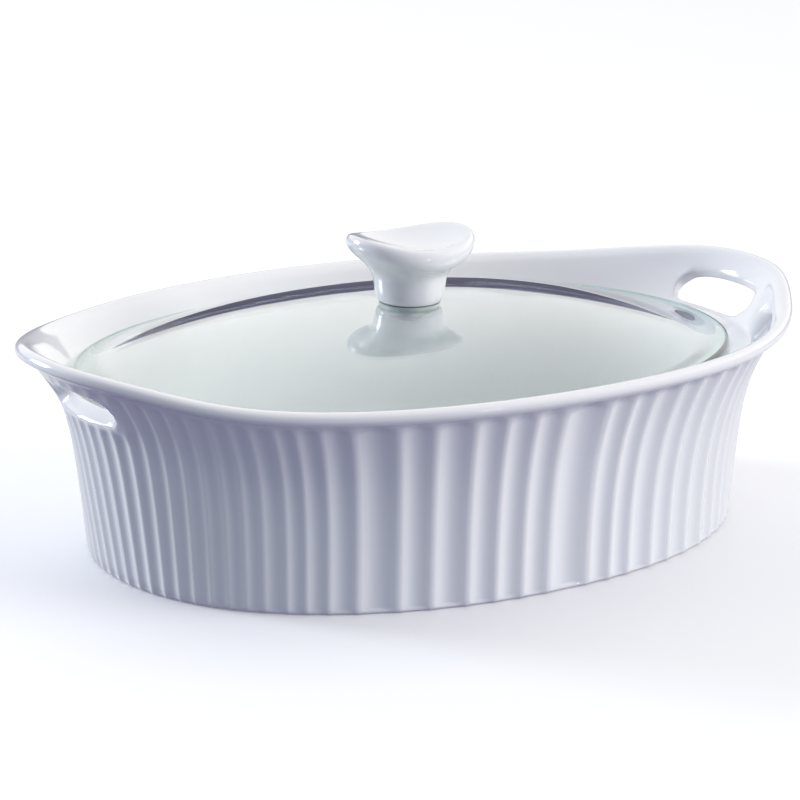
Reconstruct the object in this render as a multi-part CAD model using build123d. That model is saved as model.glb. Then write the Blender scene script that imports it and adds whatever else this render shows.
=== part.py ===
from build123d import *
import math
import os

# Covered oval casserole: a stoneware dish with flared, slotted ends, and a domed glass lid with a screwed-on knob.
# Millimetres, +Z up, +X along the dish. The origin is the middle of the footprint.

# Outlines in plan are superellipses with this exponent
ROUNDNESS = 2.1

# Stoneware dish, outside
BASE_A = 137.0          # half length of the footprint
BASE_B = 98.6           # half width of the footprint
RIM_A = 163.6           # half length of the rim's oval, without the handles
RIM_B = 112.0           # half width of the rim
HANDLE_REACH = 6.5      # how far each handle stands out past that oval
HANDLE_ANGLE = 0.23     # half angle that a handle takes up, radians
SIDE_HEIGHT = 81.5      # rim height along the sides
END_RISE = 9.8          # how much higher the handles are
END_ANGLE = 0.40        # half angle over which the rim climbs, radians
FLARE_ANGLE = 0.50      # half angle over which the wall leans out to a handle, radians
END_LEAN = 0.486        # share of the flare at a handle that is a straight lean
SIDE_POWER = 3.0        # how late the side walls flare
END_POWER = 3.2         # how much later than that the walls below the handles flare
FOOT_WIDTH = 9.0        # the ring that it stands on
FOOT_RECESS = 1.2

# Stoneware dish, inside
FLOOR_Z = 7.0
BASIN_A = 131.5
BASIN_B = 94.6
CORNER = 15.0           # rounding between floor and wall
RIM_THICKNESS = 6.0
LEDGE_Z = 69.5          # shelf that the lid rests on
END_PLAY = 6.0          # room at each end of the lid
SIDE_PLAY = 1.2         # room at each side of the lid

# Finger slots through the flared ends
SLOT_X = 152.0
SLOT_Z = 74.6
SLOT_HALF_WIDTH = 28.0
SLOT_GAP = 12.0
SLOT_TILT = 42.0        # the slot slopes down and outwards, degrees
SLOT_DEPTH = 34.0

# Glass lid; it lies pushed towards the -X end of its seat
LID_X = -5.0
LID_A = 138.6
LID_B = 99.2
GLASS = 4.2
DOME_A = 129.0
DOME_B = 96.0
DOME_RISE = 17.3
DOME_POWER = 2.5
PAD = 0.16              # flat middle of the dome, as a share of its oval
GLASS_HOLE_R = 4.0

# Knob
KNOB_A = 25.8
KNOB_B = 22.2
KNOB_TOP_Z = 123.0
KNOB_DIP = 7.0
LIP_ROUND = 1.5         # rounding of the edges of the wing
STEM_R = 13.4
STEM_TOP_R = 14.8
WING_Z = 106.8          # height at which the stem meets the underside of the wing

# Fixings through the middle of the lid
GASKET_T = 0.8
GASKET_R = 12.0
INSERT_R = 4.2
INSERT_LENGTH = 13.0
SLEEVE_R = 3.8
SEAL_R = 8.5
SEAL_T = 1.2
WASHER_R = 8.0
WASHER_T = 1.0
SCREW_R = 2.45
HEAD_R = 5.0
HEAD_H = 2.6
THREAD_DEPTH = 10.0
FIT = 0.05              # radial clearance between fitted round pieces

DOME_Z = LEDGE_Z + GLASS            # top of the lid's flat rim
CROWN_Z = DOME_Z + DOME_RISE        # top of the glass
KNOB_Z = CROWN_Z + GASKET_T         # underside of the knob


def radius(theta, a, b):
    """Distance from the middle to a superellipse in the direction theta."""
    return (abs(math.cos(theta) / a) ** ROUNDNESS + abs(math.sin(theta) / b) ** ROUNDNESS) ** (-1 / ROUNDNESS)


def from_end(theta):
    """Angle between the direction theta and the nearer end of the dish."""
    return math.atan2(abs(math.sin(theta)), abs(math.cos(theta)))


def rim_height(theta):
    return SIDE_HEIGHT + END_RISE * math.exp(-((from_end(theta) / END_ANGLE) ** 2.27))


def rim_radius(theta):
    reach = HANDLE_REACH * math.exp(-((from_end(theta) / HANDLE_ANGLE) ** 2.88))
    return radius(theta, RIM_A, RIM_B) + reach


def outer_radius(theta, z):
    """The outside of the wall: upright at the foot, then flaring out to the rim."""
    nearness = math.exp(-((from_end(theta) / FLARE_ANGLE) ** 2))
    share = min(z / rim_height(theta), 1.0)
    lean = END_LEAN * nearness
    flare = lean * share + (1 - lean) * share ** (SIDE_POWER + END_POWER * nearness)
    foot = radius(theta, BASE_A, BASE_B)
    return foot + (rim_radius(theta) - foot) * flare


def seat_radius(theta, z):
    """The inside of the wall above the ledge: a straight flare from the lid's seat to the rim."""
    seat = radius(theta, LID_A + END_PLAY, LID_B + SIDE_PLAY)
    share = min((z - LEDGE_Z) / (rim_height(theta) - LEDGE_Z), 1.0)
    return seat + (rim_radius(theta) - RIM_THICKNESS - seat) * share


def ring(z, reach, shift=0.0, points=48):
    """A smooth closed outline at height z, from a function of the direction."""
    angles = [2 * math.pi * i / points for i in range(points)]
    corners = [(shift + reach(t) * math.cos(t), reach(t) * math.sin(t), z) for t in angles]
    return Wire([Spline(*corners, periodic=True).edge()])


def skin(rings):
    """The solid inside a stack of outlines, straight from one to the next."""
    return Solid.make_loft(rings, ruled=True)


def make_dish():
    heights = [0, 12, 24, 36, 48, 58, 66, 73, 79, 84, 88, 92]
    body = skin([ring(z, lambda t, z=z: outer_radius(t, z)) for z in heights])

    # Basin with a rounded corner, up to the ledge
    turns = [0, 18, 36, 54, 72, 90]
    rings = []
    for turn in turns:
        inset = CORNER * (1 - math.sin(math.radians(turn)))
        z = FLOOR_Z + CORNER * (1 - math.cos(math.radians(turn)))
        a = BASIN_A - 2.5 - inset
        b = BASIN_B - 2.5 - inset
        rings.append(ring(z, lambda t, a=a, b=b: radius(t, a, b)))
    for z, inset in ((46, 1.2), (LEDGE_Z + 1, 0)):
        rings.append(ring(z, lambda t, i=inset: radius(t, BASIN_A - i, BASIN_B - i)))
    body -= skin(rings)

    # Seat for the lid, flaring to the rim
    levels = [LEDGE_Z, 73, 77, 81.5, 86, 92.5]
    body -= skin([ring(z, lambda t, z=z: seat_radius(t, z)) for z in levels])

    # Foot: a shallow recess leaves a ring to stand on
    recess = ring(0, lambda t: radius(t, BASE_A - FOOT_WIDTH, BASE_B - FOOT_WIDTH))
    body -= Solid.extrude(Face(recess), Vector(0, 0, FOOT_RECESS))

    # The rim dips along the sides and climbs to the handles
    steps = [math.radians(d) for d in (90, 75, 60, 50, 42, 36, 30, 25, 20, 15, 10, 5, 0)]
    half = [(rim_radius(t) * math.cos(t), rim_height(t)) for t in steps]
    crest = [(-x, z) for x, z in reversed(half[1:])] + half
    crest = [(-190, crest[0][1])] + crest + [(190, crest[-1][1])]
    line = Polyline(*[(x, 0, z) for x, z in crest])
    lid_over = Polyline((190, 0, crest[-1][1]), (190, 0, 130), (-190, 0, 130), (-190, 0, crest[0][1]))
    above = Face(Wire(line.edges() + lid_over.edges()))
    body -= Solid.extrude(above, Vector(0, 300, 0)).moved(Location((0, -150, 0)))

    for side in (1, -1):
        body -= make_slot_cutter(side)
    return body


def make_slot_cutter(side):
    """A slanted slab that follows the curve of one end, with round ends."""
    across = SLOT_HALF_WIDTH - SLOT_GAP / 2
    b = SLOT_X * RIM_B / RIM_A
    tilt = math.radians(SLOT_TILT)
    cutter = None
    steps = 8
    sections = []
    for i in range(steps + 1):
        y = across * (2 * i / steps - 1)
        x = SLOT_X * math.sqrt(1 - (y / b) ** 2)
        turn = math.atan2(y / b ** 2, x / SLOT_X ** 2)
        out = Vector(side * math.cos(turn) * math.cos(tilt), math.sin(turn) * math.cos(tilt), -math.sin(tilt))
        along = Vector(-side * math.sin(turn), math.cos(turn), 0)
        place = Plane(origin=(side * x, y, SLOT_Z), x_dir=out, z_dir=along)
        sections.append(place * Rectangle(SLOT_DEPTH, SLOT_GAP))
        if i in (0, steps):
            end = Plane(origin=(side * x, y, SLOT_Z), z_dir=out) * Cylinder(SLOT_GAP / 2, SLOT_DEPTH)
            cutter = end if cutter is None else cutter + end
    return cutter + loft(sections)


def dome_rings(base_z, a, b):
    """Outlines up a dome, closer together towards its flat middle."""
    shares = [1.0, 0.97, 0.92, 0.84, 0.74, 0.62, 0.48, 0.32, PAD]
    full = DOME_RISE / (1 - PAD ** DOME_POWER)
    rings = []
    for share in shares:
        z = base_z + full * (1 - share ** DOME_POWER)
        rings.append(ring(z, lambda t, s=share: s * radius(t, a, b), LID_X))
    return rings


def make_lid_glass():
    edge = ring(LEDGE_Z, lambda t: radius(t, LID_A, LID_B), LID_X)
    rim = Solid.extrude(Face(edge), Vector(0, 0, GLASS))
    shell = rim + skin(dome_rings(DOME_Z, DOME_A, DOME_B))
    shell -= skin(dome_rings(LEDGE_Z, DOME_A - 2.5, DOME_B - 2.5))
    hole = Cylinder(GLASS_HOLE_R, 60).moved(Location((LID_X, 0, CROWN_Z)))
    return shell - hole


def make_knob():
    """A saddle-shaped wing on a tapered stem, with a blind bore for the insert."""
    plan = Ellipse(KNOB_A, KNOB_B)
    block = extrude(plan, KNOB_TOP_Z - KNOB_Z).moved(Location((0, 0, KNOB_Z)))

    # The top dips between the two tips
    tip = KNOB_A + 2
    dip = KNOB_TOP_Z - KNOB_DIP
    top = ThreePointArc((-tip, 0, KNOB_TOP_Z), (0, 0, dip), (tip, 0, KNOB_TOP_Z))
    over = Polyline((tip, 0, KNOB_TOP_Z), (tip, 0, KNOB_TOP_Z + 20), (-tip, 0, KNOB_TOP_Z + 20), (-tip, 0, KNOB_TOP_Z))
    hollow = Face(Wire(top.edges() + over.edges()))
    block -= Solid.extrude(hollow, Vector(0, 60, 0)).moved(Location((0, -30, 0)))

    # The wing's underside sweeps down from the tips to the stem
    under = ThreePointArc((-tip, 0, KNOB_TOP_Z - 5.5), (0, 0, WING_Z), (tip, 0, KNOB_TOP_Z - 5.5))
    below = Polyline((tip, 0, KNOB_TOP_Z - 5.5), (tip, 0, KNOB_Z - 5), (-tip, 0, KNOB_Z - 5), (-tip, 0, KNOB_TOP_Z - 5.5))
    waste = Face(Wire(under.edges() + below.edges()))
    wing = block - Solid.extrude(waste, Vector(0, 60, 0)).moved(Location((0, -30, 0)))
    wing = fillet(wing.edges().filter_by(lambda edge: edge.length > 30), LIP_ROUND)

    stem_height = WING_Z + 4 - KNOB_Z
    stem = Cone(STEM_R, STEM_TOP_R, stem_height).moved(Location((0, 0, KNOB_Z + stem_height / 2)))
    stem = chamfer(stem.edges().group_by(Axis.Z)[0], 0.8)
    knob = wing + stem
    bore_depth = INSERT_LENGTH + FIT
    knob -= Cylinder(INSERT_R + FIT, bore_depth).moved(Location((0, 0, KNOB_Z + bore_depth / 2)))
    return knob.moved(Location((LID_X, 0, 0)))


def disc(outer, inner, low, high):
    """A washer, tube or rod on the knob's axis."""
    body = Cylinder(outer, high - low)
    if inner > 0:
        body -= Cylinder(inner, high - low)
    return body.moved(Location((LID_X, 0, (low + high) / 2)))


def make_knob_gasket():
    return disc(GASKET_R, SCREW_R + FIT, CROWN_Z, KNOB_Z)


def make_knob_insert():
    return disc(INSERT_R, SCREW_R + FIT, KNOB_Z, KNOB_Z + INSERT_LENGTH)


def make_under_seal():
    under = CROWN_Z - GLASS
    flat = disc(SEAL_R, SCREW_R + FIT, under - SEAL_T, under)
    sleeve = disc(SLEEVE_R, SCREW_R + FIT, under, CROWN_Z - FIT)
    return flat + sleeve


def make_steel_washer():
    top = CROWN_Z - GLASS - SEAL_T
    return disc(WASHER_R, SCREW_R + FIT, top - WASHER_T, top)


def make_knob_screw():
    """Round-headed screw with a cross recess, put in from under the lid."""
    shoulder = CROWN_Z - GLASS - SEAL_T - WASHER_T
    head = disc(HEAD_R, 0, shoulder - HEAD_H, shoulder)
    head = fillet(head.edges().group_by(Axis.Z)[0], HEAD_H * 0.6)
    slots = Box(5.0, 1.0, 2.4) + Box(1.0, 5.0, 2.4)
    head -= slots.moved(Location((LID_X, 0, shoulder - HEAD_H)))
    return head + disc(SCREW_R, 0, shoulder, KNOB_Z + THREAD_DEPTH)


PARTS = {
    "dish": make_dish,
    "lid_glass": make_lid_glass,
    "knob": make_knob,
    "knob_insert": make_knob_insert,
    "knob_gasket": make_knob_gasket,
    "under_seal": make_under_seal,
    "steel_washer": make_steel_washer,
    "knob_screw": make_knob_screw,
}

os.makedirs("parts", exist_ok=True)
for name, make in PARTS.items():
    export_step(make(), f"parts/{name}.step")
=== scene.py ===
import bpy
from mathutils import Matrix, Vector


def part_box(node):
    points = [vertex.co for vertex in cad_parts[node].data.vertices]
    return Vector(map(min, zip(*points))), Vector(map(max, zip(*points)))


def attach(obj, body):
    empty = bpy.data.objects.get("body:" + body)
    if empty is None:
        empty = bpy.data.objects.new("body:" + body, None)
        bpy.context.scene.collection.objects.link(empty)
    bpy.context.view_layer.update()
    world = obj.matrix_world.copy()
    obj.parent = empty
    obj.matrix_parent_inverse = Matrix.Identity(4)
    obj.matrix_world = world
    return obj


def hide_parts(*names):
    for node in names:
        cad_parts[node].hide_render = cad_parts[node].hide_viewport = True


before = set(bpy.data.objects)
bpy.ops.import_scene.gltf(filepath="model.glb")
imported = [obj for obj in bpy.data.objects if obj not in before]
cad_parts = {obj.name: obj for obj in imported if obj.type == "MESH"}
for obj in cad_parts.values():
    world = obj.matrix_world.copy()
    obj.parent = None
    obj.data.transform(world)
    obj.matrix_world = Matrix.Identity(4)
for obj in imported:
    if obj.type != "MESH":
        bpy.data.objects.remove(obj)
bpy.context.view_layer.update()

import math

import bmesh
import bpy
import numpy as np
from bpy.props import FloatProperty, FloatVectorProperty, PointerProperty
from mathutils import Matrix, Vector

bl_info = {
    "name": "Covered casserole",
    "version": (1, 0, 0),
    "blender": (4, 5, 0),
    "location": "3D View > Sidebar > Casserole",
    "description": "Fluted stoneware dish with slotted handles and a domed glass lid, around a CAD frame",
    "category": "Add Mesh",
}

# Everything is in metres, in the frame of the CAD model: +X along the dish, +Z up and the footprint
# centred on the origin.
MM = 0.001
ROUNDNESS = 2.1             # exponent of every superellipse in plan
GLASS_LOW, GLASS_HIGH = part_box("lid_glass")
KNOB_LOW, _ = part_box("knob")
LID_X = (GLASS_LOW.x + GLASS_HIGH.x) / 2


def length(name, text, value):
    return FloatProperty(name=name, description=text, default=value, min=0, unit="LENGTH", precision=4)


def share(name, text, value, top=1.0):
    return FloatProperty(name=name, description=text, default=value, min=0, max=top)


def colour(name, text, value):
    return FloatVectorProperty(name=name, description=text, default=value, size=3, min=0, max=1,
                               subtype="COLOR")


def degrees(name, text, value):
    return FloatProperty(name=name, description=text, default=math.radians(value), subtype="ANGLE")


def amount(name, text, value):
    return FloatProperty(name=name, description=text, default=value, min=0)


def watts(name, text, value):
    return FloatProperty(name=name, description=text, default=value, min=0, unit="POWER")


# --------------------------------------------------------------------------------------------------
# Settings


class DishSettings(bpy.types.PropertyGroup):
    base_a: length("Foot half length", "Half length of the footprint", 0.1370)
    base_b: length("Foot half width", "Half width of the footprint", 0.0986)
    rim_a: length("Rim half length", "Half length of the rim's oval, without the handles", 0.1632)
    rim_b: length("Rim half width", "Half width of the rim", 0.1115)
    handle_reach: length("Handle reach", "How far a handle stands out past the rim's oval", 0.0062)
    side_height: length("Side height", "Height of the rim along the sides", 0.0814)
    end_rise: length("End rise", "How much higher the handles are", 0.0097)
    ledge_z: length("Ledge height", "Height of the shelf under the lid", GLASS_LOW.z)
    seat_a: length("Seat half length", "Half length of the lid's seat", 0.1446)
    seat_b: length("Seat half width", "Half width of the lid's seat", 0.1004)
    basin_a: length("Basin half length", "Half length of the inside", 0.1315)
    basin_b: length("Basin half width", "Half width of the inside", 0.0946)
    floor_z: length("Floor thickness", "Height of the inside floor", 0.0070)
    rim_thickness: length("Rim thickness", "Thickness of the rim and the handles", 0.0060)
    foot_width: length("Foot width", "Width of the ring that it stands on", 0.0090)
    foot_recess: length("Foot recess", "Depth of the underside inside that ring", 0.0012)
    swell: length("Swell", "How far the walls swell outwards round the slots", 0.0028)
    flute_depth: share("Flute depth", "Depth of a flute, as a share of its width", 0.155)
    flute_round: share("Flute rounding", "How rounded the ridges between flutes are", 0.16)


class LidSettings(bpy.types.PropertyGroup):
    glass: length("Glass thickness", "Thickness of the glass", 0.0042)
    flat_a: length("Dome half length", "Half length of the dome's foot", 0.1290)
    flat_b: length("Dome half width", "Half width of the dome's foot", 0.0960)
    edge: length("Edge radius", "Rounding of the outer edge", 0.0020)
    power: share("Dome fullness", "Higher is flatter on top and steeper at the foot", 2.5, 6)


class LookSettings(bpy.types.PropertyGroup):
    glaze: colour("Glaze", "Colour of the white glaze", (0.80, 0.80, 0.815))
    # This colour is also painted shade: the dish's glaze mixes towards it in the flute valleys
    pooled_glaze_and_shade: colour("Pooled glaze", "Colour of the glaze where it lies thick", (0.70, 0.72, 0.76))
    clay: colour("Clay", "Bare stoneware on the foot", (0.66, 0.60, 0.52))
    glass: colour("Glass", "Tint of the glass", (0.92, 0.965, 0.95))
    glass_deep: colour("Deep glass", "Colour of light far through the glass", (0.30, 0.62, 0.52))
    silicone: colour("Silicone", "Gasket and seal", (0.50, 0.56, 0.54))
    steel: colour("Steel", "Screw and washer", (0.62, 0.62, 0.61))
    brass: colour("Brass", "Threaded insert", (0.78, 0.60, 0.30))


class StageSettings(bpy.types.PropertyGroup):
    azimuth: degrees("Azimuth", "Where the camera stands, from straight in front", -34.04)
    elevation: degrees("Elevation", "How high it looks from", 15.71)
    roll: degrees("Roll", "Tilt of the picture", 0.97)
    distance: length("Distance", "From the camera to the point that it looks at", 1.2463)
    focal: amount("Lens", "Focal length in millimetres", 142.4)
    key: amount("Key light", "Strength of the light on the right", 2.3)
    left: watts("Left light", "Power of the light behind on the left", 16.0)
    spark: watts("Small light", "Power of the small light in front", 0.5)
    ambient: amount("Ambient", "Strength of the light from all round", 1.0)


# --------------------------------------------------------------------------------------------------
# Node arithmetic, shared by materials and geometry


class Value:
    """A socket that can be used in Python arithmetic: each operator adds its Math node."""

    def __init__(self, tree, socket):
        self.tree = tree
        self.socket = socket

    def math(self, operation, *others):
        return calculate(self.tree, operation, self, *others)

    def __add__(self, other):
        return self.math("ADD", other)

    __radd__ = __add__

    def __sub__(self, other):
        return self.math("SUBTRACT", other)

    def __rsub__(self, other):
        return calculate(self.tree, "SUBTRACT", other, self)

    def __mul__(self, other):
        return self.math("MULTIPLY", other)

    __rmul__ = __mul__

    def __pow__(self, other):
        return self.math("POWER", other)

    def ramp(self, low, high):
        """0 below low, 1 above high and a smooth step between; with low above high it falls."""
        node = self.tree.nodes.new("ShaderNodeMapRange")
        node.interpolation_type = "SMOOTHSTEP"
        plug(self.tree, node.inputs["Value"], self)
        plug(self.tree, node.inputs["From Min"], low)
        plug(self.tree, node.inputs["From Max"], high)
        return Value(self.tree, node.outputs["Result"])


def calculate(tree, operation, *values):
    """A Math node on sockets and numbers."""
    node = tree.nodes.new("ShaderNodeMath")
    node.operation = operation
    for socket, value in zip(node.inputs, values):
        plug(tree, socket, value)
    return Value(tree, node.outputs[0])


def plug(tree, socket, value):
    """Gives a socket a link or a plain value."""
    if isinstance(value, Value):
        tree.links.new(value.socket, socket)
    elif isinstance(value, bpy.types.NodeSocket):
        tree.links.new(value, socket)
    elif socket.type == "RGBA" and len(value) == 3:
        socket.default_value = (*value, 1)
    else:
        socket.default_value = value


def add_node(tree, kind, settings=None, inputs=None):
    """A node of a kind: its settings are made first, then its sockets get their values or links."""
    node = tree.nodes.new(kind)
    for name, value in (settings or {}).items():
        setattr(node, name, value)
    for name, value in (inputs or {}).items():
        plug(tree, node.inputs[name], value)
    return node


def blend(tree, factor, first, second):
    """A colour between two others."""
    node = add_node(tree, "ShaderNodeMix", {"data_type": "RGBA", "clamp_factor": True})
    plug(tree, node.inputs[0], factor)
    plug(tree, node.inputs[6], first)
    plug(tree, node.inputs[7], second)
    return node.outputs[2]


class Finish:
    """A material that is being put together."""

    def __init__(self, name):
        self.material = bpy.data.materials.new(name)
        self.material.use_nodes = True
        self.tree = self.material.node_tree
        self.tree.nodes.clear()
        self.output = self.tree.nodes.new("ShaderNodeOutputMaterial")

    def node(self, kind, settings=None, inputs=None):
        return add_node(self.tree, kind, settings, inputs)

    def value(self, kind, output, settings=None, inputs=None):
        return Value(self.tree, self.node(kind, settings, inputs).outputs[output])

    def place(self):
        """Position on the object, and its three coordinates."""
        coordinate = self.node("ShaderNodeTexCoord").outputs["Object"]
        parts = self.node("ShaderNodeSeparateXYZ", None, {0: coordinate}).outputs
        return coordinate, [Value(self.tree, part) for part in parts]

    def noise(self, vector, scale, detail=3.0, roughness=0.5):
        inputs = {"Vector": vector, "Scale": scale, "Detail": detail, "Roughness": roughness}
        return self.value("ShaderNodeTexNoise", "Fac", None, inputs)

    def attribute(self, name):
        return self.value("ShaderNodeAttribute", "Fac", {"attribute_name": name})

    def mix(self, factor, first, second):
        return blend(self.tree, factor, first, second)

    def bump(self, height, strength, distance):
        inputs = {"Height": height, "Strength": strength, "Distance": distance}
        return self.node("ShaderNodeBump", None, inputs).outputs["Normal"]

    def surface(self, **inputs):
        """The Principled shader, with its sockets named in words joined by underscores."""
        named = {key.replace("_", " "): value for key, value in inputs.items()}
        shader = self.node("ShaderNodeBsdfPrincipled", None, named)
        self.tree.links.new(shader.outputs[0], self.output.inputs["Surface"])
        return self.material


def make_glaze(look):
    """Clear gloss glaze over white stoneware: painted shade and pooled glaze in the flutes, bare clay under
    the foot.
    """
    f = Finish("white_glaze")
    where, (_, _, z) = f.place()
    cloud = f.noise(where, 18.0, 2.0)
    speck = f.noise(where, 900.0, 2.0).ramp(0.73, 0.80)
    # Painted shade: the glaze turns darker and bluer the deeper a point lies in a flute valley, for the
    # shade there as well as for pooled glaze
    pooling_and_shade = f.attribute("flute_valley")
    shade = f.mix(pooling_and_shade * 0.75 + (cloud - 0.5) * 0.12, look.glaze, look.pooled_glaze_and_shade)
    shade = f.mix(speck * 0.10, shade, (0.58, 0.55, 0.50))
    ripple = f.noise(where, 160.0, 2.0)
    grit = f.noise(where, 2600.0, 3.0)
    bare = (z + (cloud - 0.5) * 0.0006).ramp(0.0006, 0.0002)
    bare = bare * f.attribute("foot_ring").ramp(0.2, 0.8)
    return f.surface(
        Base_Color=f.mix(bare, shade, f.mix(grit, look.clay, (0.74, 0.68, 0.60))),
        Roughness=(ripple - 0.5) * 0.05 + 0.10 + bare * 0.65,
        Coat_Weight=0.6,
        Coat_Roughness=0.03,
        Coat_IOR=1.5,
        IOR=1.5,
        Normal=f.bump(ripple * (1 - bare) + grit * bare * 2.0, 0.06, 0.0006),
    )


def make_knob_glaze(look):
    """The same glaze on the knob, with cloudy tones and specks that differ at random."""
    f = Finish("knob_glaze")
    where, _ = f.place()
    cloud = f.noise(where, 45.0, 2.0)
    ripple = f.noise(where, 260.0, 2.0)
    speck = f.noise(where, 1100.0, 2.0).ramp(0.73, 0.80)
    shade = f.mix((cloud - 0.3) * 0.5, look.glaze, look.pooled_glaze_and_shade)
    return f.surface(
        Base_Color=f.mix(speck * 0.10, shade, (0.58, 0.55, 0.50)),
        Roughness=(ripple - 0.5) * 0.05 + 0.09,
        Coat_Weight=0.6,
        Coat_Roughness=0.03,
        Coat_IOR=1.5,
        IOR=1.5,
        Normal=f.bump(ripple, 0.05, 0.0005),
    )


def make_glass(look):
    """Pressed tempered glass: clear and faintly green, deep green through its edge."""
    f = Finish("lid_glass")
    where, _ = f.place()
    wave = f.noise(where, 35.0, 1.0)
    smear = f.noise(where, 12.0, 4.0, 0.6)
    edge = f.attribute("glass_edge")
    material = f.surface(
        Base_Color=f.mix(edge, look.glass, look.glass_deep),
        Roughness=(smear - 0.4).ramp(0.0, 0.4) * 0.02 + 0.005,
        Transmission_Weight=1.0,
        IOR=1.51,
        Coat_Weight=1.0,
        Coat_Roughness=0.01,
        Coat_IOR=1.5,
        Normal=f.bump(wave, 0.05, 0.001),
    )
    absorb = f.node("ShaderNodeVolumeAbsorption", None, {"Color": look.glass_deep, "Density": 7.0})
    f.tree.links.new(absorb.outputs[0], f.output.inputs["Volume"])
    return material


def make_silicone(look):
    f = Finish("silicone")
    where, _ = f.place()
    haze = f.noise(where, 400.0, 3.0)
    return f.surface(
        Base_Color=f.mix(haze * 0.4, look.silicone, (0.38, 0.44, 0.42)),
        Roughness=haze * 0.12 + 0.38,
        IOR=1.41,
        Normal=f.bump(haze, 0.1, 0.0002),
    )


def make_metal(name, tint, scale):
    """Turned metal: fine rings about the knob's axis."""
    f = Finish(name)
    where, (x, y, _) = f.place()
    radius = ((x - LID_X) ** 2 + y ** 2) ** 0.5
    rings = (radius * scale).math("SINE") * 0.5 + 0.5
    smut = f.noise(where, 300.0, 3.0)
    return f.surface(
        Base_Color=f.mix(smut * 0.35, tint, tuple(c * 0.7 for c in tint)),
        Metallic=1.0,
        Roughness=rings * 0.08 + smut * 0.12 + 0.20,
        Normal=f.bump(rings, 0.12, 0.0001),
    )


# --------------------------------------------------------------------------------------------------
# Shape of the dish


# Widths of the flutes from the middle of a side outwards, in millimetres; at the ends they are even
FLUTES_LEFT = (6.6, 11.4, 11.3, 11.7, 14.3, 12.5, 15.5, 10.5, 8.2, 7.0, 8.4)
FLUTES_RIGHT = (12.3, 10.8, 10.0, 13.0, 11.2, 12.0, 12.5, 10.5, 9.5, 8.5)
END_FLUTE = 6.7             # width of the flutes round the ends, millimetres
FLUTE_COLUMNS = 4           # of the cage to each flute, before it is subdivided once
FLUTE_STOP = 4.6            # from the rim down to the stop of a flute at the sides, millimetres
FLUTE_STOP_END = 3.4        # and how much lower it is at the ends
FLUTE_FADE = 4.6            # over which a flute comes up out of its stop, millimetres
SLOT_COLUMNS = 13           # from the middle of a slot to its end
SLOT_ROWS = 4               # from the bottom of a slot to its top
SLOT_OUT = (0.715, 0.866)   # bottom and top of a slot outside, as shares of the rim's height there
SLOT_IN = (0.03, 0.61)      # and inside, as shares of the flare from the ledge to the rim
SLOT_ENDS = (5.0, 2.2)      # exponents of a slot's outline, along and across it
SLOT_REACH = 1.9            # how far round a slot the cage is drawn in, in half slots

# How things fade away from the middle of an end: the angle in radians and the exponent of each bell curve
RISE_BELL = (0.40, 2.27)    # the rim's height
REACH_BELL = (0.23, 2.88)   # the handle's reach
SWELL_BELL = (0.22, 2)      # the swelling round a slot
END_BELL = (0.50, 2)        # the lean of the wall and the lower stops of the flutes
END_LEAN = 0.486            # share of the wall's flare at an end that is a straight lean
FLARE_POWER = 3.0           # exponent of the rest of the flare at the sides
FLARE_POWER_END = 3.2       # and how much higher it is at the ends
SWELL_HEIGHT = (0.85, 0.09) # middle and spread of the swelling, as shares of the wall's height


def superellipse(theta, a, b):
    """Radius of an oval in a direction."""
    along = np.abs(np.cos(theta) / a) ** ROUNDNESS
    across = np.abs(np.sin(theta) / b) ** ROUNDNESS
    return (along + across) ** (-1 / ROUNDNESS)


def from_end(theta):
    """Angle to the nearer end of the dish."""
    return np.arctan2(np.abs(np.sin(theta)), np.abs(np.cos(theta)))


def bell(theta, spread, power):
    """1 at the middle of each end, falling to 0 along the sides."""
    return np.exp(-((from_end(theta) / spread) ** power))


def smooth(x):
    x = np.clip(x, 0, 1)
    return x * x * (3 - 2 * x)


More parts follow.
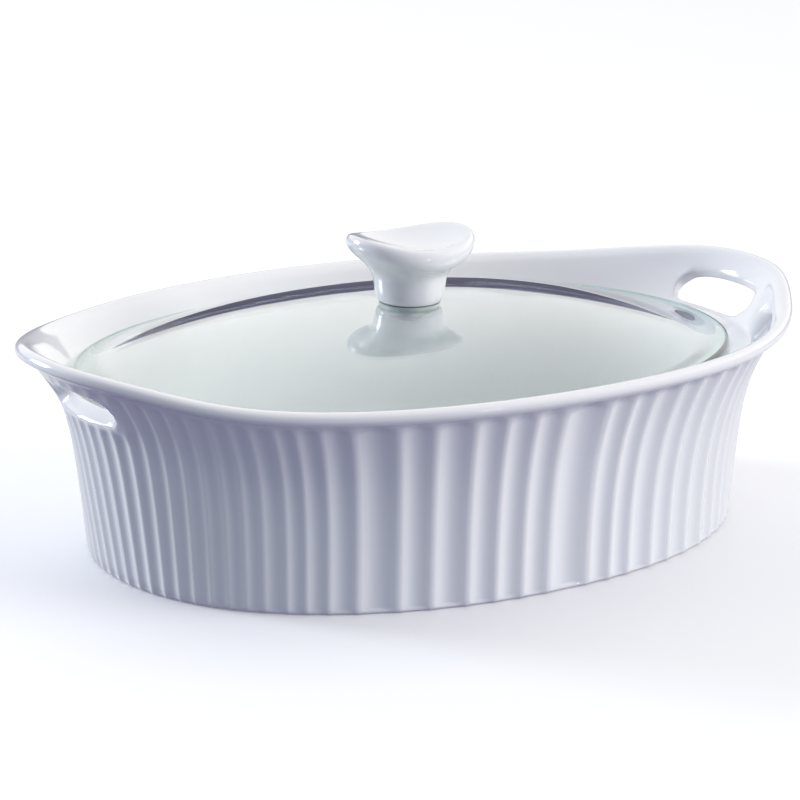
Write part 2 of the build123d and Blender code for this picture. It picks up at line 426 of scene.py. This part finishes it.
class DishShape:
    """The dish's surfaces as functions of the direction and of a share of the height."""

    def __init__(self, s):
        self.s = s
        self.angles = np.linspace(0, 2 * np.pi, 14401)
        r = superellipse(self.angles, s.base_a, s.base_b)
        steps = np.hypot(np.diff(r * np.cos(self.angles)), np.diff(r * np.sin(self.angles)))
        self.arc = np.concatenate([[0], np.cumsum(steps)])
        self.edges = flute_edges(self.arc[-1])
        self.columns = FLUTE_COLUMNS * len(self.edges)

    def direction(self, column):
        """Direction of a column, whole or not: the first is at the +X end, in the middle of a flute."""
        total = self.arc[-1]
        edges = np.concatenate([[self.edges[-1] - total], self.edges, [self.edges[0] + total]])
        places = (np.arange(len(edges)) - 0.5) * FLUTE_COLUMNS
        around = np.interp(np.mod(column, self.columns), places, edges)
        return np.interp(np.mod(around, total), self.arc, self.angles)

    def from_slot(self, column):
        """Columns from the middle of the nearer slot."""
        return np.mod(column + self.columns / 4, self.columns / 2) - self.columns / 4

    def distance(self, theta):
        """Distance round the foot from the +X end."""
        return np.interp(np.mod(theta, 2 * np.pi), self.angles, self.arc)

    def rim_height(self, theta):
        return self.s.side_height + self.s.end_rise * bell(theta, *RISE_BELL)

    def rim_radius(self, theta):
        reach = self.s.handle_reach * bell(theta, *REACH_BELL)
        return superellipse(theta, self.s.rim_a, self.s.rim_b) + reach

    def outside(self, theta, t):
        """Radius and height of the outer wall, t from 0 at the foot to 1 at the rim."""
        near_end = bell(theta, *END_BELL)
        lean = END_LEAN * near_end
        flare = lean * t + (1 - lean) * t ** (FLARE_POWER + FLARE_POWER_END * near_end)
        foot = superellipse(theta, self.s.base_a, self.s.base_b)
        level, spread = SWELL_HEIGHT
        swell = self.s.swell * bell(theta, *SWELL_BELL) * np.exp(-(((t - level) / spread) ** 2))
        return foot + (self.rim_radius(theta) - foot) * flare + swell, t * self.rim_height(theta)

    def inside(self, theta, w):
        """Radius and height of the flare inside, w from 0 at the ledge to 1 at the rim."""
        seat = superellipse(theta, self.s.seat_a, self.s.seat_b)
        lip = self.rim_radius(theta) - self.s.rim_thickness
        swell = self.s.swell * bell(theta, *SWELL_BELL) * 4 * w * (1 - w)
        height = self.s.ledge_z + (self.rim_height(theta) - self.s.ledge_z) * w
        return seat + (lip - seat) * w + swell, height


def slot_warp(a, b):
    """Draws the points of a square in from its corners, so that the unit square gets round ends."""
    m = np.maximum(np.maximum(np.abs(a), np.abs(b)), 1e-9)
    ua = np.abs(a) / m
    ub = np.abs(b) / m
    low = np.full_like(m, 0.5)
    high = np.ones_like(m)
    for _ in range(24):
        middle = (low + high) / 2
        outside = (middle * ua) ** SLOT_ENDS[0] + (middle * ub) ** SLOT_ENDS[1] > 1
        high = np.where(outside, middle, high)
        low = np.where(outside, low, middle)
    k = low + (1 - low) * smooth((m - 1) / (SLOT_REACH - 1))
    return a * k, b * k


def dish_rows(shape):
    """The cage's rows, from the middle of the underside round the rim to the middle of the floor.

    Each is (kind, direction, radius, height) with a value for each column. The rows that the slots go
    through are of the kinds out and in.
    """
    s = shape.s
    column = np.arange(shape.columns)
    theta = shape.direction(column)
    flat = np.zeros(shape.columns)
    rows = []

    def add(kind, radius, height):
        rows.append((kind, theta, radius, flat + height))

    foot = superellipse(theta, s.base_a, s.base_b)
    for k in (0.30, 0.60, 0.85):
        add("under", (foot - s.foot_width) * k, s.foot_recess)
    for inset, z in ((s.foot_width + 1.0 * MM, s.foot_recess), (s.foot_width - 0.5 * MM, 0.3 * MM),
                     (s.foot_width - 1.5 * MM, 0), (4.5 * MM, 0), (2.0 * MM, 0)):
        add("foot", foot - inset, z)
    add("corner", foot - 0.6 * MM, 0.5 * MM)
    add("corner", foot - 0.1 * MM, 1.6 * MM)
    for t in (0.04, 0.07, 0.12, 0.19, 0.27, 0.35, 0.43, 0.51, 0.58, 0.63, 0.67):
        rows.append(("wall",) + warped(shape, column, t, SLOT_OUT, shape.outside))
    for i in range(SLOT_ROWS + 1):
        t = SLOT_OUT[0] + (SLOT_OUT[1] - SLOT_OUT[0]) * i / SLOT_ROWS
        rows.append(("out",) + warped(shape, column, t, SLOT_OUT, shape.outside))
    for t in (0.885, 0.905, 0.923):
        rows.append(("wall",) + warped(shape, column, t, SLOT_OUT, shape.outside))

    # Rim: it swells softly out of the wall and rolls over into the flare inside
    rim, top = shape.rim_radius(theta), shape.rim_height(theta)
    for inset, drop in ((0.95, 4.9), (0.25, 3.6), (0.0, 2.4), (0.4, 1.2),
                        (1.4, 0.3), (2.8, 0.0), (4.3, 0.2), (5.6, 1.0)):
        rows.append(("rim", theta, rim - inset * MM, top - drop * MM))
    for drop in (2.4, 3.8):
        w = 1 - drop * MM / (top - s.ledge_z)
        rows.append(("flare",) + warped(shape, column, w, SLOT_IN, shape.inside))
    for i in range(SLOT_ROWS + 1):
        w = SLOT_IN[1] + (SLOT_IN[0] - SLOT_IN[1]) * i / SLOT_ROWS
        rows.append(("in",) + warped(shape, column, w, SLOT_IN, shape.inside))

    # Ledge and basin
    seat = superellipse(theta, s.seat_a, s.seat_b)
    basin = superellipse(theta, s.basin_a, s.basin_b)
    add("ledge", seat - 0.2 * MM, s.ledge_z + 0.3 * MM)
    add("ledge", seat - 1.0 * MM, s.ledge_z)
    add("ledge", (seat + basin) / 2, s.ledge_z)
    add("ledge", basin + 1.2 * MM, s.ledge_z)
    add("basin", basin + 0.2 * MM, s.ledge_z - 0.5 * MM)
    add("basin", basin - 0.2 * MM, s.ledge_z - 2.0 * MM)
    for z in (60, 50, 40, 30, 23):
        add("basin", basin - 0.03 * (s.ledge_z - z * MM), z * MM)
    bend = 15 * MM
    for turn in (20, 40, 60, 80, 90):
        angle = math.radians(turn)
        height = s.floor_z + bend * (1 - math.sin(angle))
        add("basin", basin - 1.5 * MM - bend * (1 - math.cos(angle)), height)
    for k in (0.72, 0.45, 0.20):
        add("floor", (basin - 1.5 * MM - bend) * k, s.floor_z)
    return rows


def warped(shape, column, height_share, slot, surface):
    """A row of the wall, drawn in round the ends of the two slots."""
    middle = (slot[0] + slot[1]) / 2
    half = (slot[1] - slot[0]) / 2
    offset = shape.from_slot(column)
    a = offset / SLOT_COLUMNS
    b = np.zeros_like(a) + (height_share - middle) / half
    near_a, near_b = slot_warp(a, b)
    theta = shape.direction(column - offset + near_a * SLOT_COLUMNS)
    radius, height = surface(theta, middle + near_b * half)
    return theta, radius, height


def dish_cage(shape):
    """A closed cage of quads with a tunnel through each slot, as vertices and faces."""
    rows = dish_rows(shape)
    count = len(rows)
    columns = shape.columns
    verts = [(r * math.cos(t), r * math.sin(t), z) for _, ts, rs, zs in rows for t, r, z in zip(ts, rs, zs)]
    kinds = [row[0] for row in rows]
    out_rows = [i for i, kind in enumerate(kinds) if kind == "out"]
    in_rows = [i for i, kind in enumerate(kinds) if kind == "in"]

    def at(row, column):
        return row * columns + column % columns

    faces = []
    for c in range(columns):
        in_slot = -SLOT_COLUMNS <= shape.from_slot(c) < SLOT_COLUMNS
        for r in range(count - 1):
            open_row = r in out_rows[:-1] or r in in_rows[:-1]
            if not (open_row and in_slot):
                faces.append((at(r, c), at(r, c + 1), at(r + 1, c + 1), at(r + 1, c)))

    # Strips from side to side close the flat middles of the underside and the floor
    for r in (0, count - 1):
        for c in range(columns // 2):
            faces.append(tuple(dict.fromkeys((at(r, c), at(r, c + 1), at(r, -c - 1), at(r, -c)))))

    # Tunnels: a middle ring joins the outer mouth of each slot to the inner one
    rings_in_tunnel = (0.22, 0.5, 0.78)
    for end in (0, columns // 2):
        first, last = end - SLOT_COLUMNS, end + SLOT_COLUMNS
        mouths = []
        for bottom_up in (out_rows, in_rows[::-1]):
            loop = [at(bottom_up[0], c) for c in range(first, last)]
            loop += [at(r, last) for r in bottom_up[:-1]]
            loop += [at(bottom_up[-1], c) for c in range(last, first, -1)]
            loop += [at(r, first) for r in bottom_up[:0:-1]]
            mouths.append(loop)
        chain = [mouths[0]]
        for step in rings_in_tunnel:
            ring = []
            for o, i in zip(*mouths):
                verts.append(tuple(p + (q - p) * step for p, q in zip(verts[o], verts[i])))
                ring.append(len(verts) - 1)
            chain.append(ring)
        chain.append(mouths[1])
        for one, two in zip(chain, chain[1:]):
            n = len(one)
            for i in range(n):
                faces.append((one[i], one[(i + 1) % n], two[(i + 1) % n], two[i]))
    marks = np.zeros(len(verts))
    rings = np.zeros(len(verts))
    for r, kind in enumerate(kinds):
        marks[r * columns:(r + 1) * columns] = kind in ("wall", "out", "corner")
        rings[r * columns:(r + 1) * columns] = kind == "foot"
    return verts, faces, marks, rings


def flute_edges(total):
    """Distances from the +X end at which the flutes meet, all the way round the foot."""
    quarter = total / 4

    def side(widths):
        """From the middle of a side to the end, as distances from that middle."""
        edges = [widths[0] * MM]
        for width in widths[1:]:
            edges.append(edges[-1] + width * MM)
        rest = round((quarter - edges[-1]) / (END_FLUTE * MM) + 0.5)
        step = (quarter - edges[-1]) / (rest - 0.5)
        return edges + [edges[-1] + step * (i + 1) for i in range(rest - 1)]

    edges = []
    for middle in (quarter, 3 * quarter):
        # Seen from outside, a side starts at its left end
        edges += [middle - e for e in side(FLUTES_LEFT)]
        edges += [middle + e for e in side(FLUTES_RIGHT)]
    return np.array(sorted(edges))


def new_object(name, verts, faces, attributes=None):
    """A smooth-shaded mesh object with float attributes on its points, facing outwards."""
    mesh = bpy.data.meshes.new(name)
    mesh.from_pydata([tuple(v) for v in verts], [], [tuple(f) for f in faces])
    for key, values in (attributes or {}).items():
        mesh.attributes.new(key, "FLOAT", "POINT").data.foreach_set("value", np.asarray(values, np.float32))
    work = bmesh.new()
    work.from_mesh(mesh)
    bmesh.ops.recalc_face_normals(work, faces=work.faces)
    work.to_mesh(mesh)
    work.free()
    mesh.shade_smooth()
    obj = bpy.data.objects.new(name, mesh)
    bpy.context.scene.collection.objects.link(obj)
    return obj


def bake_modifiers(obj):
    """Turns what the modifiers make into the object's own mesh."""
    bpy.context.view_layer.update()
    result = obj.evaluated_get(bpy.context.evaluated_depsgraph_get())
    mesh = bpy.data.meshes.new_from_object(result)
    obj.modifiers.clear()
    obj.data = mesh
    mesh.name = obj.name
    mesh.shade_smooth()
    return obj


def subdivide(obj, levels):
    modifier = obj.modifiers.new("Subdivision", "SUBSURF")
    modifier.levels = levels
    modifier.render_levels = levels
    return bake_modifiers(obj)


def points(mesh):
    co = np.empty(len(mesh.vertices) * 3, np.float32)
    mesh.vertices.foreach_get("co", co)
    return co.reshape(-1, 3).astype(float)


def read_attribute(mesh, name):
    values = np.empty(len(mesh.vertices), np.float32)
    mesh.attributes[name].data.foreach_get("value", values)
    return values


def write_attribute(mesh, name, values):
    layer = mesh.attributes.get(name) or mesh.attributes.new(name, "FLOAT", "POINT")
    layer.data.foreach_set("value", np.asarray(values, np.float32))


def mark_flutes(obj, shape):
    """Gives each point its place across a flute, the flute's width, and how much of it shows there."""
    mesh = obj.data
    co = points(mesh)
    theta = np.arctan2(co[:, 1], co[:, 0])
    around = shape.distance(theta)
    total = shape.arc[-1]
    edges = np.concatenate([[shape.edges[-1] - total], shape.edges, [shape.edges[0] + total]])
    index = np.clip(np.searchsorted(edges, around, side="right") - 1, 0, len(edges) - 2)
    width = edges[index + 1] - edges[index]
    across = (around - edges[index]) / width
    top = shape.rim_height(theta)

    # Each flute ends in a round stop under the rim, fades a little at the foot and runs out round the
    # lips of a slot
    stop = top - (FLUTE_STOP + FLUTE_STOP_END * bell(theta, *END_BELL)) * MM
    stop = stop - 0.12 * width * (2 * across - 1) ** 2
    outside = smooth(read_attribute(mesh, "outside") * 1.6 - 0.3)
    fade = smooth((stop - co[:, 2]) / (FLUTE_FADE * MM)) * smooth(co[:, 2] / 3.0 / MM + 0.35)
    column = np.interp(around, edges, (np.arange(len(edges)) - 0.5) * FLUTE_COLUMNS)
    middle = (SLOT_OUT[0] + SLOT_OUT[1]) / 2
    half = (SLOT_OUT[1] - SLOT_OUT[0]) / 2
    a = np.abs(shape.from_slot(column)) / SLOT_COLUMNS
    b = np.abs(co[:, 2] / top - middle) / half
    from_slot = (a ** 4 + b ** 4) ** 0.25
    fade = fade * smooth((from_slot - 1.04) / 0.35)
    write_attribute(mesh, "flute_across", across)
    write_attribute(mesh, "flute_width", width)
    write_attribute(mesh, "flute_share", outside * fade)


def flute_nodes(material, sizes):
    """Geometry nodes that press the flutes into the wall along its normals."""
    tree = bpy.data.node_groups.new("Flutes", "GeometryNodeTree")
    face = tree.interface
    face.new_socket("Geometry", in_out="INPUT", socket_type="NodeSocketGeometry")
    face.new_socket("Depth", in_out="INPUT", socket_type="NodeSocketFloat")
    face.new_socket("Rounding", in_out="INPUT", socket_type="NodeSocketFloat")
    face.new_socket("Material", in_out="INPUT", socket_type="NodeSocketMaterial")
    face.new_socket("Geometry", in_out="OUTPUT", socket_type="NodeSocketGeometry")
    start = tree.nodes.new("NodeGroupInput")
    end = tree.nodes.new("NodeGroupOutput")

    def named(name):
        node = add_node(tree, "GeometryNodeInputNamedAttribute", {"data_type": "FLOAT"}, {"Name": name})
        return Value(tree, node.outputs["Attribute"])

    depth = Value(tree, start.outputs["Depth"])
    rounding = Value(tree, start.outputs["Rounding"])
    arch = (named("flute_across") * math.pi).math("SINE")
    valley = ((arch ** 2 + rounding ** 2) ** 0.5 - rounding) * named("flute_share")
    push = valley * named("flute_width") * depth * -1
    normal = tree.nodes.new("GeometryNodeInputNormal").outputs[0]
    offset = add_node(tree, "ShaderNodeVectorMath", {"operation": "SCALE"}, {0: normal, "Scale": push})
    move = add_node(tree, "GeometryNodeSetPosition", None,
                    {"Geometry": start.outputs["Geometry"], "Offset": offset.outputs[0]})
    # The valley's depth is kept for the glaze, which paints shade into the flutes with it
    keep = add_node(tree, "GeometryNodeStoreNamedAttribute", {"data_type": "FLOAT", "domain": "POINT"},
                    {"Geometry": move.outputs[0], "Name": "flute_valley", "Value": valley})
    whole = add_node(tree, "GeometryNodeRealizeInstances", None, {"Geometry": keep.outputs[0]})
    dress = add_node(tree, "GeometryNodeSetMaterial", None,
                     {"Geometry": whole.outputs[0], "Material": start.outputs["Material"]})
    tree.links.new(dress.outputs[0], end.inputs["Geometry"])
    return tree, {"Depth": sizes.flute_depth, "Rounding": sizes.flute_round, "Material": material}


def run_nodes(obj, tree, values):
    """Runs a geometry node tree on an object and keeps what it makes as a plain mesh."""
    modifier = obj.modifiers.new(tree.name, "NODES")
    modifier.node_group = tree
    for item in tree.interface.items_tree:
        if item.item_type == "SOCKET" and item.in_out == "INPUT" and item.name in values:
            modifier[item.identifier] = values[item.name]
    return bake_modifiers(obj)


# --------------------------------------------------------------------------------------------------
# Operators


class CASSEROLE_OT_dish(bpy.types.Operator):
    """Make the stoneware dish with its flutes, slotted handles, ledge and foot"""

    bl_idname = "casserole.dish"
    bl_label = "Dish"

    def execute(self, context):
        sizes = context.scene.casserole_dish
        shape = DishShape(sizes)
        verts, faces, outside, foot = dish_cage(shape)
        dish = new_object("fluted_dish", verts, faces, {"outside": outside, "foot_ring": foot})
        subdivide(dish, 1)
        mark_flutes(dish, shape)
        tree, values = flute_nodes(make_glaze(context.scene.casserole_look), sizes)
        run_nodes(dish, tree, values)
        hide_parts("dish")
        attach(dish, "dish")
        return {"FINISHED"}


def lid_profile(sizes):
    """Rings of the glass from the hole over the top, round the edge and back under.

    Each is (kind, share, height); the share is of the dome, of the flat rim, or an inset from the edge.
    """
    base = GLASS_LOW.z + sizes.glass
    rise = GLASS_HIGH.z - base
    rows = []
    full = rise / (1 - 0.16 ** sizes.power)

    def dome(share, floor):
        return floor + min(full * (1 - share ** sizes.power), rise)

    dome_shares = (0.10, 0.16, 0.22, 0.32, 0.42, 0.52, 0.61, 0.69, 0.76, 0.82, 0.87, 0.91, 0.945, 0.975)
    flat_shares = (0.30, 0.62, 0.90)
    rows += [("dome", share, dome(share, base)) for share in dome_shares]
    rows += [("flat", share, base) for share in flat_shares]
    for turn in (90, 50, 10, -10, -50, -90):
        angle = math.radians(turn)
        z = GLASS_LOW.z + sizes.glass / 2 + (sizes.glass / 2) * math.sin(angle)
        rows.append(("edge", sizes.edge * (1 - math.cos(angle)), z))
    rows += [("flat", share, GLASS_LOW.z) for share in flat_shares[::-1]]
    rows += [("under", share, dome(share, GLASS_LOW.z)) for share in dome_shares[::-1]]
    return rows


class CASSEROLE_OT_lid_glass(bpy.types.Operator):
    """Make the glass: a domed oval shell with a flat rim, a rounded edge and a hole for the screw"""

    bl_idname = "casserole.lid_glass"
    bl_label = "Lid glass"

    def execute(self, context):
        sizes = context.scene.casserole_lid
        around = 160
        theta = np.linspace(0, 2 * np.pi, around, endpoint=False)
        lid_a = (GLASS_HIGH.x - GLASS_LOW.x) / 2
        lid_b = (GLASS_HIGH.y - GLASS_LOW.y) / 2
        hole = 4.0 * MM
        rings = []
        edge_marks = []
        top_z = GLASS_HIGH.z
        rings.append((np.full(around, hole), top_z))
        edge_marks.append(0.6)
        for kind, share, z in lid_profile(sizes):
            outline = superellipse(theta, lid_a, lid_b)
            inset = 2.5 * MM if kind == "under" else 0
            dome = superellipse(theta, sizes.flat_a - inset, sizes.flat_b - inset)
            if kind in ("dome", "under"):
                radius = dome * share
            elif kind == "flat":
                radius = dome + (outline - sizes.edge - dome) * share
            else:
                radius = outline - share
            rings.append((radius, z))
            edge_marks.append({"edge": 1.0, "flat": 0.25}.get(kind, 0.0))
        rings.append((np.full(around, hole), top_z - sizes.glass))
        edge_marks.append(0.6)
        verts = [(LID_X + r * math.cos(t), r * math.sin(t), z)
                 for radius, z in rings for t, r in zip(theta, radius)]
        marks = [mark for mark in edge_marks for _ in range(around)]
        n = len(rings)
        faces = []
        for i in range(n):
            for c in range(around):
                d = (c + 1) % around
                j = (i + 1) % n
                faces.append((i * around + c, i * around + d, j * around + d, j * around + c))
        lid = new_object("domed_glass", verts, faces, {"glass_edge": marks})
        subdivide(lid, 1)
        lid.visible_shadow = False      # clear glass lets the light through to the basin
        lid.data.materials.append(make_glass(context.scene.casserole_look))
        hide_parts("lid_glass")
        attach(lid, "lid")
        return {"FINISHED"}


KNOB_TIP = 26.0             # half length of the wing, where the lift of a ring is measured, millimetres

# Rings of the knob from its underside up the stem, round the wing's lip and in over its top: half
# length, half width, height above the underside and how much the ring lifts at the two tips, in
# millimetres, then the outline's exponent
KNOB_RINGS = (
    (5.0, 5.0, 0.0, 0.0, 2.0), (9.5, 9.5, 0.0, 0.0, 2.0), (11.4, 11.4, 0.1, 0.0, 2.0),
    (12.7, 12.7, 0.9, 0.0, 2.0), (13.5, 13.3, 2.8, 0.0, 2.0), (14.1, 13.7, 5.6, 0.0, 2.0),
    (14.5, 14.0, 8.6, 0.0, 2.0), (15.0, 14.4, 11.3, 0.2, 2.0),
    (16.4, 15.6, 13.2, 1.2, 2.0), (18.9, 17.7, 14.6, 3.8, 2.0), (22.0, 19.8, 15.5, 5.6, 2.1),
    (24.6, 21.6, 17.0, 5.8, 2.1), (25.9, 22.5, 19.2, 5.2, 2.1), (26.0, 22.5, 21.4, 4.6, 2.1),
    (25.3, 21.7, 23.4, 4.5, 2.1), (24.1, 20.5, 24.4, 4.5, 2.1), (22.4, 18.9, 24.3, 4.6, 2.1),
    (19.2, 16.1, 23.6, 4.8, 2.1), (14.4, 11.9, 22.8, 5.0, 2.0), (9.2, 7.5, 22.3, 5.0, 2.0),
    (4.2, 3.4, 22.1, 5.0, 2.0),
)


class CASSEROLE_OT_knob(bpy.types.Operator):
    """Make the knob: a saddle-shaped wing on a tapered stem"""

    bl_idname = "casserole.knob"
    bl_label = "Knob"

    def execute(self, context):
        around = 48
        bottom = KNOB_LOW.z
        verts = []
        for a, b, z, lift, power in KNOB_RINGS:
            for i in range(around):
                t = 2 * math.pi * i / around
                x = a * math.copysign(abs(math.cos(t)) ** (2 / power), math.cos(t))
                y = b * math.copysign(abs(math.sin(t)) ** (2 / power), math.sin(t))
                rise = lift * (x / KNOB_TIP) ** 2
                verts.append((LID_X + x * MM, y * MM, bottom + (z + rise) * MM))
        n = len(KNOB_RINGS)
        verts += [(LID_X, 0, bottom), (LID_X, 0, bottom + KNOB_RINGS[-1][2] * MM)]
        faces = []
        for c in range(around):
            d = (c + 1) % around
            faces.append((n * around, d, c))
            faces.append((n * around + 1, (n - 1) * around + c, (n - 1) * around + d))
            for i in range(n - 1):
                faces.append((i * around + c, i * around + d, (i + 1) * around + d, (i + 1) * around + c))
        knob = new_object("saddle_knob", verts, faces)
        subdivide(knob, 2)
        knob.data.materials.append(make_knob_glaze(context.scene.casserole_look))
        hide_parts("knob")
        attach(knob, "lid")
        return {"FINISHED"}


class CASSEROLE_OT_fixings(bpy.types.Operator):
    """Give the insert, gasket, seal, washer and screw their finishes"""

    bl_idname = "casserole.fixings"
    bl_label = "Fixings"

    def execute(self, context):
        look = context.scene.casserole_look
        silicone = make_silicone(look)
        steel = make_metal("stainless", tuple(look.steel), 30000.0)
        brass = make_metal("insert_brass", tuple(look.brass), 24000.0)
        finishes = {"knob_insert": brass, "knob_gasket": silicone, "under_seal": silicone,
                    "steel_washer": steel, "knob_screw": steel}
        for node, material in finishes.items():
            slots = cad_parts[node].data.materials
            slots.clear()
            slots.append(material)
        return {"FINISHED"}


def add_area(name, place, target, size, power, tint):
    data = bpy.data.lights.new(name, "AREA")
    data.shape = "RECTANGLE"
    data.size, data.size_y = size
    data.energy = power
    data.color = tint
    lamp = bpy.data.objects.new(name, data)
    lamp.location = place
    lamp.rotation_euler = (Vector(target) - Vector(place)).to_track_quat("-Z", "Y").to_euler()
    bpy.context.scene.collection.objects.link(lamp)
    return lamp


def make_room(strength):
    """A room white above and pale below, dim towards the front left, with a dark band round it."""
    world = bpy.data.worlds.new("studio")
    world.use_nodes = True
    tree = world.node_tree
    direction = add_node(tree, "ShaderNodeTexCoord").outputs["Generated"]
    parts = add_node(tree, "ShaderNodeSeparateXYZ", None, {0: direction}).outputs
    x, y, z = (Value(tree, part) for part in parts)
    dim = (x * -0.66 + y * -0.75).ramp(-0.1, 0.65) * z.ramp(0.95, 0.45)     # 1 at the front left
    high = blend(tree, dim, (1.0, 1.0, 1.0), (0.23, 0.25, 0.37))
    low = blend(tree, dim, (0.84, 0.85, 0.88), (0.38, 0.45, 0.54))
    low = blend(tree, z.ramp(-0.45, -0.80), low, (0.14, 0.11, 0.25))
    band = blend(tree, z.ramp(-0.05, -0.20), (0.15, 0.15, 0.22), low)
    room = blend(tree, z.ramp(0.115, 0.135), band, high)

    # The camera sees a plain white backdrop past the floor instead
    seen = add_node(tree, "ShaderNodeLightPath").outputs["Is Camera Ray"]
    background = tree.nodes["Background"]
    plug(tree, background.inputs["Color"], blend(tree, seen, room, (1.0, 1.0, 1.0)))
    background.inputs["Strength"].default_value = strength
    return world


class CASSEROLE_OT_stage(bpy.types.Operator):
    """Set up the pale floor, the soft lights and the camera"""

    bl_idname = "casserole.stage"
    bl_label = "Stage"

    def execute(self, context):
        s = context.scene.casserole_stage
        reach = 6.0
        corners = [(-reach, -reach, 0), (reach, -reach, 0), (reach, reach, 0), (-reach, reach, 0)]
        mesh = bpy.data.meshes.new("floor")
        mesh.from_pydata(corners, [], [(0, 1, 2, 3)])
        floor = bpy.data.objects.new("floor", mesh)
        context.scene.collection.objects.link(floor)
        paper = Finish("floor").surface(
            Base_Color=(0.93, 0.93, 0.94), Roughness=0.9, Specular_IOR_Level=0.1)
        floor.data.materials.append(paper)

        # The floor catches shadows, but the light that the object gets and mirrors comes from the
        # lamps and the room
        floor.visible_diffuse = False
        floor.visible_glossy = False
        context.scene.world = make_room(s.ambient)

        sun = bpy.data.lights.new("key", "SUN")
        sun.energy = s.key
        sun.angle = math.radians(40)
        sun.color = (1.0, 0.985, 0.97)
        lamp = bpy.data.objects.new("key", sun)
        towards_key = Vector((0.74, -0.66, 0.22))
        lamp.rotation_euler = towards_key.to_track_quat("Z", "Y").to_euler()
        lamp.visible_glossy = False     # the glaze mirrors the pale room, not this light
        context.scene.collection.objects.link(lamp)
        middle = (0, 0, 0.05)
        add_area("left", (-0.95, 1.15, 0.40), middle, (0.4, 0.6), s.left, (0.80, 0.88, 1.0))
        add_area("spark", (0.30, -1.25, 0.20), middle, (0.10, 0.05), s.spark, (1.0, 1.0, 1.0))

        azimuth, elevation = s.azimuth, s.elevation
        back = Vector((math.sin(azimuth) * math.cos(elevation), -math.cos(azimuth) * math.cos(elevation),
                       math.sin(elevation)))
        right = Vector((math.cos(azimuth), math.sin(azimuth), 0))
        up = back.cross(right)
        turned_right = right * math.cos(s.roll) + up * math.sin(s.roll)
        turned_up = up * math.cos(s.roll) - right * math.sin(s.roll)
        data = bpy.data.cameras.new("camera")
        data.lens = s.focal
        data.sensor_width = 36
        data.clip_end = 50
        camera = bpy.data.objects.new("camera", data)
        turn = Matrix((turned_right, turned_up, back)).transposed()
        aim = Vector((-0.0086, 0, 0.0520))
        camera.matrix_world = Matrix.Translation(aim + back * s.distance) @ turn.to_4x4()
        context.scene.collection.objects.link(camera)
        context.scene.camera = camera
        context.scene.view_settings.view_transform = "Standard"
        return {"FINISHED"}


STEPS = (CASSEROLE_OT_stage, CASSEROLE_OT_dish, CASSEROLE_OT_lid_glass, CASSEROLE_OT_knob,
         CASSEROLE_OT_fixings)


class CASSEROLE_PT_panel(bpy.types.Panel):
    """The casserole's sizes, colours and steps"""

    bl_idname = "CASSEROLE_PT_panel"
    bl_label = "Covered casserole"
    bl_space_type = "VIEW_3D"
    bl_region_type = "UI"
    bl_category = "Casserole"

    def draw(self, context):
        for name in GROUPS:
            settings = getattr(context.scene, name)
            for key in settings.bl_rna.properties.keys():
                if key not in ("rna_type", "name"):
                    self.layout.prop(settings, key)
        for step in STEPS:
            self.layout.operator(step.bl_idname)


GROUPS = {
    "casserole_dish": DishSettings,
    "casserole_lid": LidSettings,
    "casserole_look": LookSettings,
    "casserole_stage": StageSettings,
}
CLASSES = tuple(GROUPS.values()) + STEPS + (CASSEROLE_PT_panel,)


def register():
    for cls in CLASSES:
        bpy.utils.register_class(cls)
    for name, group in GROUPS.items():
        setattr(bpy.types.Scene, name, PointerProperty(type=group))


def unregister():
    for name in GROUPS:
        delattr(bpy.types.Scene, name)
    for cls in reversed(CLASSES):
        bpy.utils.unregister_class(cls)


def main():
    register()
    for step in STEPS:
        family, name = step.bl_idname.split(".")
        getattr(getattr(bpy.ops, family), name)()


if __name__ == "__main__":
    main()
